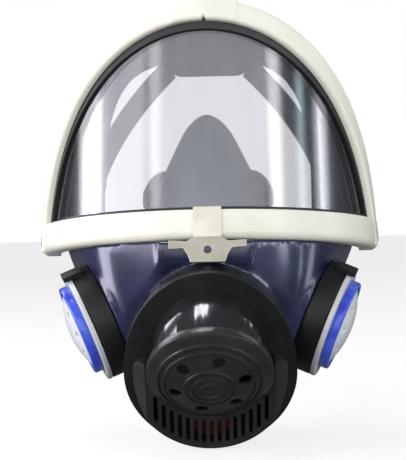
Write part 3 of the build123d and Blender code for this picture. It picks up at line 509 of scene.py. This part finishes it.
def make_arch():
    """Cream arch: a rounded bar with a raised crest and a small notch at its middle."""

    def bar(v):
        return rounded(0, ARCH_WIDTH, -(FRAME_OUT + FRAME_IN) / 2, (FRAME_OUT + FRAME_IN) / 2,
                       (1.4, 1.2, 1.9, 2.6), 5)

    def frame_of(v, x, y):
        turn = ARCH_END * spread(v, 0.35)
        point = arch_frame_at(turn, x, y)
        crest = 1 - step(abs(point.x), CREST_HALF - CREST_EDGE, CREST_HALF + CREST_EDGE)
        notch = max(0.0, 1 - abs(point.x) / NOTCH_HALF) * (1 if x > ARCH_WIDTH / 2 else 0)
        inward = x - CREST_LIFT * crest * (1 - x / ARCH_WIDTH) - NOTCH_DEPTH * notch
        return arch_frame_at(turn, inward, y + (CREST_LIFT * crest if y > 0 else 0))

    bm = swept(bar, 240, frame_of)
    return add_piece("arch_frame", mesh_of("arch_frame", bm, WINDOW), "mask", ["upper_frame"])


SCREW_Y = -15.6
SCREW_Z = -BAND_HEIGHT / 2
SCREW_SEAT = 94.1
POCKET_RADIUS = 3.9
POCKET_REACH = 12.0


def make_band():
    """Cream band under the window: soft underside, square ends with a screw pocket in each."""

    def bar(v):
        return rounded(-FRAME_IN, FRAME_OUT, -BAND_HEIGHT, 0, (0.8, 4.2, 1.4, 0.8), 6)

    bm = swept(bar, 200, lambda v, x, y: wall_point(pi / 2 * spread(v, 1), x, y))
    ease(bm, 1.0, 3, 60)
    band = add_piece("band_frame", mesh_of("band_frame", bm, WINDOW), "mask", ["lower_frame"])
    tools = []
    for side in SIDES.values():
        tool = rod(POCKET_RADIUS, SCREW_SEAT, SCREW_SEAT + POCKET_REACH, steps=48)
        turn = Matrix.Translation((0, SCREW_Y, SCREW_Z)) @ Matrix.Rotation(side * pi / 2, 4, "Y")
        bmesh.ops.transform(tool, matrix=turn, verts=tool.verts)
        tools.append(tool)
    cut(band, tools, WINDOW)
    band.data.shade_smooth()
    band.data.set_sharp_from_angle(angle=radians(35))
    return band


# ------------------------------------------------------------------ moulded rubber
def moulded(name, node, voxel, rounds, body="mask"):
    """Soft copy of a CAD node: remeshed in one skin, its edges rounded as a mould leaves them."""
    bm = bmesh.new()
    bm.from_mesh(nodes[node].data)
    bmesh.ops.remove_doubles(bm, verts=bm.verts, dist=2e-6)
    mesh = bpy.data.meshes.new(name)
    bm.to_mesh(mesh)
    bm.free()
    piece = add_piece(name, mesh, body, [node])
    skin = piece.modifiers.new("skin", "REMESH")
    skin.mode = "VOXEL"
    skin.voxel_size = voxel * MM
    soft = piece.modifiers.new("soft", "SMOOTH")
    soft.factor = 0.5
    soft.iterations = rounds
    settled(piece)
    piece.data.materials.clear()
    piece.data.materials.append(FINISHES[SLOT_OF[node]].material)
    piece.data.shade_smooth()
    return piece


def make_rubber():
    moulded("face_rubber", "facepiece", 1.5, 5)
    moulded("nose_mask", "nose_cup", 1.1, 6)


# ------------------------------------------------------------------ head harness
CROWN_Z = 140.5
STRAP_WIDTH = 18.0
STRAP_THICKNESS = 1.8
STRAP_START = 30.5
STRAP_TAIL = 14.0
STRAP_GAP = 0.2
STRAP_RIBS = 5
STRAP_RIB_DEPTH = 0.35
BEND_START = 0.9
BUCKLE_HALF = 11.0
TAIL_SHARE = 0.1
PAD_WIDTH = 60.0
PAD_THICKNESS = 5.0
PAD_CORNER = 12.0
PAD_ROLL = 2.5
PAD_BORDER = (4.0, 5.5)
PAD_SINK = 0.6
PAD_RIB_PITCH = 5.0
PAD_ARC = ((0, 115, CROWN_Z + 1.5), (0, 146, CROWN_Z - 10.5), (0, 168, CROWN_Z - 32))
ROUTES = {"top": ((0, -3, 107), (0, 60, 135), (0, 121, CROWN_Z - 1.5))}
SIDE_ROUTES = {
    "temple": ((74, -3, 45), (77, 72, 88), (32, 139, CROWN_Z - 13)),
    "neck": ((54, -3, -55), (80, 88, 15), (28, 166, CROWN_Z - 26)),
}
for kind, route in SIDE_ROUTES.items():
    for side, flip in SIDES.items():
        ROUTES[f"{kind}_{side}"] = tuple((flip * x, y, z) for x, y, z in route)


class Arc:
    """Circle through three points, followed by distance from the first."""

    def __init__(self, first, middle, last):
        a, b, c = (Vector(point) for point in (first, middle, last))
        ab, ac = b - a, c - a
        axis = ab.cross(ac)
        reach = axis.cross(ab) * ac.length_squared + ac.cross(axis) * ab.length_squared
        reach /= 2 * axis.length_squared
        self.centre = a + reach
        self.radius = reach.length
        self.axis = axis.normalized()
        self.start = -reach
        end = c - self.centre
        turn = atan2(self.axis.dot(self.start.cross(end)), self.start.dot(end))
        self.length = self.radius * (turn % tau)

    def frame(self, distance):
        """Place along the arc: x along it, y across it, z outwards from its centre."""
        out = Matrix.Rotation(distance / self.radius, 3, self.axis) @ self.start.normalized()
        along = self.axis.cross(out)
        columns = Matrix((along, self.axis, out)).transposed()
        return Matrix.Translation(self.centre + out * self.radius) @ columns.to_4x4()


def ribbed(width, thickness, ribs, rise):
    """Section of a moulded strap: rounded edges, and `ribs` grooves along both faces."""
    half, level = width / 2, thickness / 2
    count = ribs * 6
    across = [-half + level + (width - 2 * level) * i / count for i in range(count + 1)]
    top = [(x, level - rise * (0.5 + 0.5 * cos(tau * ribs * (x + half) / width))) for x in across]
    edge = [(half - level + level * cos(t), level * sin(t)) for t in (pi / 4, 0, -pi / 4)]
    under = [(x, -z) for x, z in reversed(top)]
    return top + edge + under + [(-x, -z) for x, z in edge]


def make_strap(name):
    """Ribbed band: its first share lies flat in the buckle, and the rest follows its arc."""
    arc = Arc(*ROUTES[name])
    section = ribbed(STRAP_WIDTH - STRAP_GAP, STRAP_THICKNESS, STRAP_RIBS, STRAP_RIB_DEPTH)
    flat = arc.frame(STRAP_START - 0.5 - BUCKLE_HALF)
    bend = STRAP_START + BEND_START
    steps = int((arc.length - STRAP_START) / 3)

    def frame_of(v, x, z):
        if v < TAIL_SHARE:
            along = BUCKLE_HALF - STRAP_TAIL + (STRAP_TAIL + 0.8) * v / TAIL_SHARE
            return flat @ Vector((along, x, z))
        share = (v - TAIL_SHARE) / (1 - TAIL_SHARE)
        return arc.frame(bend + (arc.length - bend) * share) @ Vector((0, x, z))

    bm = swept(lambda v: section, steps + 12, frame_of)
    add_piece(f"{name}_band", mesh_of(f"{name}_band", bm, smooth=50), "mask", [f"{name}_strap"])


def make_pad():
    """Head pad: a cushioned plate with a rolled edge, a sunken field and rows of ribs."""
    arc = Arc(*PAD_ARC)
    half = PAD_WIDTH / 2
    corner = PAD_CORNER

    def edge_gap(along, across):
        a = max(0.0, corner - min(along, arc.length - along))
        c = max(0.0, corner - (half - abs(across)))
        return corner - hypot(a, c) if a > 0 and c > 0 else min(corner - a, corner - c)

    def face(u, v, side):
        along, across = arc.length * u, PAD_WIDTH * (v - 0.5)
        gap = edge_gap(along, across)
        if gap < 0:
            inner_a = min(max(along, corner), arc.length - corner)
            inner_c = max(-half + corner, min(half - corner, across))
            way = Vector((along - inner_a, across - inner_c)).normalized() * corner
            along, across, gap = inner_a + way.x, inner_c + way.y, 0.0
        roll = sqrt(max(0.0, 1 - (1 - min(gap, PAD_ROLL) / PAD_ROLL) ** 2))
        sunk = step(gap, *PAD_BORDER) * (0.7 + 0.35 * cos(tau * across / PAD_RIB_PITCH))
        level = side * (PAD_THICKNESS / 2 * roll - sunk * PAD_SINK)
        return arc.frame(along) @ Vector((0, across, level))

    shapes = [grid(56, 96, lambda u, v, side=side: face(u, v, side)) for side in (1, -1)]
    bm = joined(shapes)
    bmesh.ops.remove_doubles(bm, verts=bm.verts, dist=0.02)
    bmesh.ops.recalc_face_normals(bm, faces=bm.faces)
    add_piece("crown_pad", mesh_of("crown_pad", bm, smooth=60), "mask", ["head_pad"])


# ------------------------------------------------------------------ studio
CAMERA_PLACE = Vector((0.0083, -0.712, 0.007))
CAMERA_YAW = radians(0.98)
CAMERA_PITCH = radians(-0.63)
CAMERA_ROLL = radians(1.13)
CAMERA_LENS = 94.9


def make_camera():
    data = bpy.data.cameras.new("studio_camera")
    data.lens = CAMERA_LENS
    data.sensor_width = 36.0
    camera = bpy.data.objects.new("studio_camera", data)
    bpy.context.scene.collection.objects.link(camera)
    turn = Matrix.Rotation(CAMERA_YAW, 4, "Z") @ Matrix.Rotation(CAMERA_PITCH, 4, "X")
    turn = turn @ Matrix.Rotation(CAMERA_ROLL, 4, "Y") @ Matrix.Rotation(pi / 2, 4, "X")
    camera.matrix_world = Matrix.Translation(CAMERA_PLACE) @ turn
    bpy.context.scene.camera = camera


def softbox(name, azimuth, elevation, distance, width, height, glow, tone=(1, 1, 1)):
    """Lamp that faces the mask. Azimuth 0 is in front of it, and grows to the right."""
    data = bpy.data.lights.new(name, "AREA")
    data.shape = "RECTANGLE"
    data.size = width
    data.size_y = height
    data.energy = glow * pi * width * height
    data.color = tone
    lamp = bpy.data.objects.new(name, data)
    bpy.context.scene.collection.objects.link(lamp)
    a, e = radians(azimuth), radians(elevation)
    away = Vector((sin(a) * cos(e), -cos(a) * cos(e), sin(e)))
    turn = away.to_track_quat("Z", "Y").to_matrix().to_4x4()
    lamp.matrix_world = Matrix.Translation(LIGHT_CENTRE + away * distance) @ turn


LIGHT_CENTRE = Vector((0, -0.06, 0))
# name, azimuth, elevation, distance, width, height, glow, tone
SOFTBOXES = (
    ("front_wall", 4, 14, 1.3, 1.7, 0.75, 2.0, (0.97, 0.98, 1.0)),
    ("left_wall", -62, 14, 1.2, 0.85, 0.75, 3.2, (1.0, 0.97, 1.0)),
    ("left_streak", -35, 14, 1.25, 0.16, 0.8, 4.5, (0.97, 0.98, 1.0)),
    ("right_streak", 46, 14, 1.25, 0.18, 0.9, 6.0, (0.98, 1.0, 1.0)),
    ("teal_strip", 66, 12, 1.2, 0.07, 1.0, 5.0, (0.78, 0.97, 1.0)),
    ("key_left", -88, 6, 1.0, 0.34, 1.2, 6.0, (1.0, 0.99, 1.0)),
    ("fill_right", 84, 6, 1.0, 0.18, 1.0, 3.0, (0.97, 0.99, 1.0)),
    ("overhead", -100, 80, 1.0, 0.34, 0.34, 9.0, (1, 1, 1)),
    ("back_left", -125, 34, 1.1, 0.34, 0.5, 7.0, (0.94, 0.92, 1.0)),
    ("back_right", 122, 34, 1.1, 0.12, 0.5, 3.0, (1, 1, 1)),
)


FLOOR_SIZE = 6.0
FLOOR_GAP = 0.0005
FLOOR_GLOW = 0.8
AIR_GLOW = 0.2
AIR_SEEN = 0.8
AIR_DIMMED = 0.08


def make_room():
    """Pale floor under the mask and even light around it, dimmer in what the mask mirrors."""
    low = cad_box[0].z - FLOOR_GAP
    bm = bmesh.new()
    bmesh.ops.create_grid(bm, x_segments=2, y_segments=2, size=FLOOR_SIZE)
    mesh = bpy.data.meshes.new("studio_floor")
    bm.to_mesh(mesh)
    bm.free()
    floor = bpy.data.objects.new("studio_floor", mesh)
    floor.location = (0, 0, low)
    bpy.context.scene.collection.objects.link(floor)
    paint = Finish("studio_white", 0.9, Emission_Strength=FLOOR_GLOW)
    paint.set(Base_Color=paint.noise(900.0).tint(shade(120, 120, 120), shade(124, 124, 124)))
    seen = paint.flow.node("LightPath", {}, {}, "Is Camera Ray")
    paint.set(Emission_Color=seen.tint(shade(90, 90, 90), shade(255, 255, 255)))
    floor.data.materials.append(paint.material)
    floor.visible_glossy = False
    world = bpy.data.worlds.new("studio_air")
    world.use_nodes = True
    tree = world.node_tree
    air = Flow(tree)
    seen = air.node("LightPath", {}, {}, "Is Camera Ray")
    glossy = air.node("LightPath", {}, {}, "Is Glossy Ray")
    level = seen * AIR_SEEN + AIR_GLOW - glossy * AIR_DIMMED
    tree.links.new(level.socket, tree.nodes["Background"].inputs["Strength"])
    tree.nodes["Background"].inputs["Color"].default_value = (1, 1, 1, 1)
    bpy.context.scene.world = world
    bpy.context.scene.view_settings.view_transform = "Standard"


make_camera()
make_room()
for lamp in SOFTBOXES:
    softbox(*lamp)

for name in nodes:
    dress(name)
make_lens()
make_gasket()
make_arch()
make_band()
make_rubber()
for name in ROUTES:
    make_strap(name)
make_pad()
